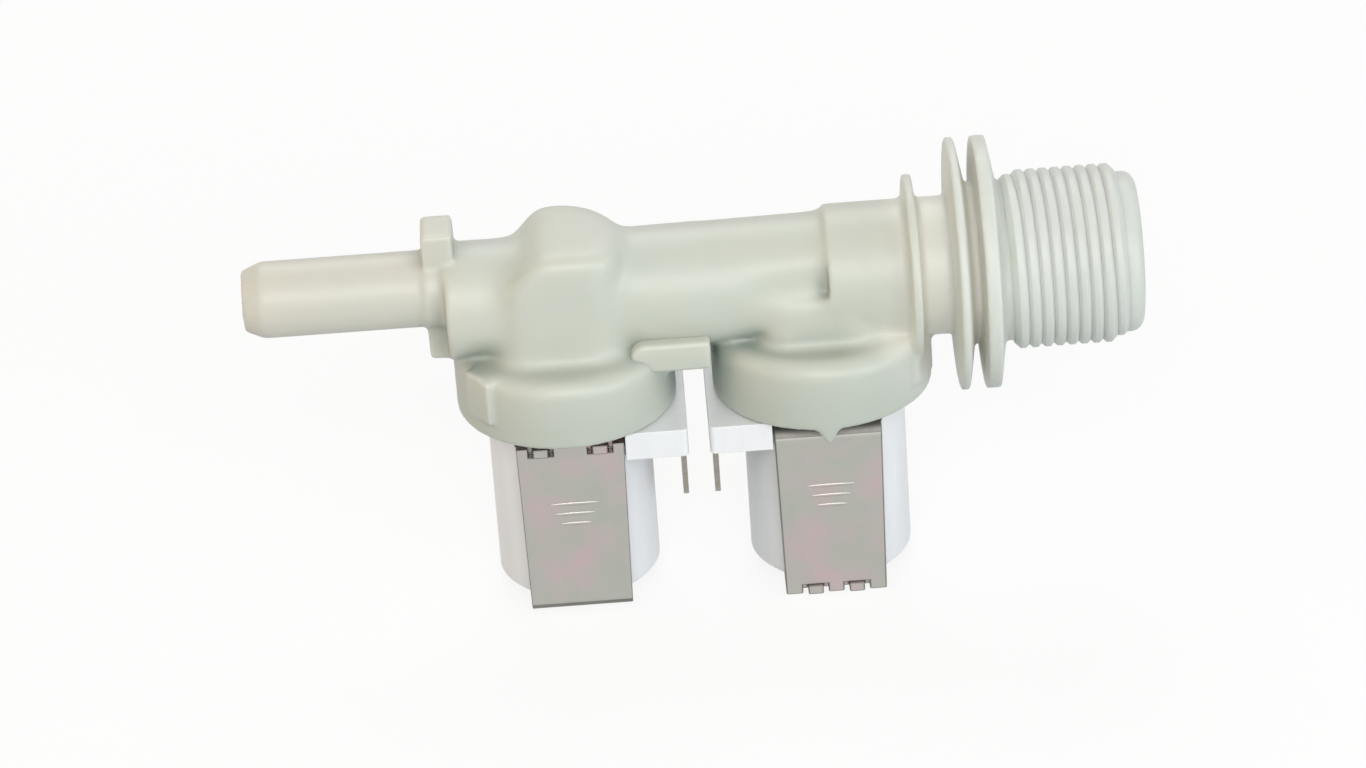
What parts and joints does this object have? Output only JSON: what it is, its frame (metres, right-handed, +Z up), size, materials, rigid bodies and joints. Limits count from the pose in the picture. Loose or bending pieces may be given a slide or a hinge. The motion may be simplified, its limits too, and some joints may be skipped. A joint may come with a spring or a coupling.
{
  "type": "twin solenoid water inlet valve",
  "caption": "Water inlet valve with a threaded inlet and panel flanges, two solenoid coils in steel yokes with blade terminals below a moulded body, and a plain hose spigot.",
  "frame": {"origin": "on the inlet axis, half way along the inlet thread", "axes": "+X out of the threaded inlet, +Z up away from the coils, -Y the side with the bar between the bells"},
  "size_m": [0.1324, 0.0374, 0.0664],
  "materials": {
    "body_polyamide": "natural moulded polyamide, satin",
    "strainer_plastic": "satin",
    "regulator_plastic": "satin",
    "seal_rubber": "matt",
    "insert_plastic": "satin",
    "guide_plastic": "satin",
    "plunger_steel": "turned",
    "spring_steel": "drawn wire",
    "bobbin_plastic": "satin",
    "winding_copper": "enamelled copper wire",
    "bush_steel": "rolled sleeve",
    "jacket_plastic": "white moulding, semi-gloss",
    "yoke_zinc": "zinc-plated sheet",
    "blade_tin": "tinned brass"
  },
  "bodies": {
    "valve": {"valve_body": "body_polyamide", "inlet_strainer": "strainer_plastic", "regulator_cage": "regulator_plastic", "flow_regulator": "seal_rubber", "outlet_diaphragm": "seal_rubber", "outlet_guide_tube": "guide_plastic", "outlet_plunger_spring": "spring_steel", "outlet_bobbin": "bobbin_plastic", "outlet_winding": "winding_copper", "outlet_flux_bush_lower": "bush_steel", "outlet_flux_bush_upper": "bush_steel", "outlet_coil_jacket": "jacket_plastic", "outlet_blade_front": "blade_tin", "outlet_blade_rear": "blade_tin", "outlet_yoke_lower": "yoke_zinc", "outlet_yoke_upper": "yoke_zinc", "inlet_diaphragm": "seal_rubber", "inlet_guide_tube": "guide_plastic", "inlet_plunger_spring": "spring_steel", "inlet_bobbin": "bobbin_plastic", "inlet_winding": "winding_copper", "inlet_flux_bush_lower": "bush_steel", "inlet_flux_bush_upper": "bush_steel", "inlet_coil_jacket": "jacket_plastic", "inlet_blade_front": "blade_tin", "inlet_blade_rear": "blade_tin", "inlet_yoke_lower": "yoke_zinc", "inlet_yoke_upper": "yoke_zinc"},
    "outlet_armature": {"outlet_plunger": "plunger_steel", "outlet_plunger_tip": "seal_rubber"},
    "outlet_pilot": {"outlet_diaphragm_insert": "insert_plastic"},
    "inlet_armature": {"inlet_plunger": "plunger_steel", "inlet_plunger_tip": "seal_rubber"},
    "inlet_pilot": {"inlet_diaphragm_insert": "insert_plastic"}
  },
  "joints": [
    {"name": "outlet_plunger_slide", "type": "slide", "parent": "valve", "child": "outlet_armature", "axis": [0, 0, -1], "range_m": [0, 0.0024], "stiffness_N_per_m": 100, "springref_m": -0.004, "deforming": ["outlet_plunger_spring"]},
    {"name": "outlet_diaphragm_slide", "type": "slide", "parent": "valve", "child": "outlet_pilot", "axis": [0, 0, -1], "range_m": [0, 0.0018], "deforming": ["outlet_diaphragm"]},
    {"name": "inlet_plunger_slide", "type": "slide", "parent": "valve", "child": "inlet_armature", "axis": [0, 0, -1], "range_m": [0, 0.0024], "stiffness_N_per_m": 100, "springref_m": -0.004, "deforming": ["inlet_plunger_spring"]},
    {"name": "inlet_diaphragm_slide", "type": "slide", "parent": "valve", "child": "inlet_pilot", "axis": [0, 0, -1], "range_m": [0, 0.0018], "deforming": ["inlet_diaphragm"]}
  ],
  "couplings": [
    {"joint": "outlet_diaphragm_slide", "follows": "outlet_plunger_slide", "ratio": 0.75},
    {"joint": "inlet_diaphragm_slide", "follows": "inlet_plunger_slide", "ratio": 0.75}
  ]
}
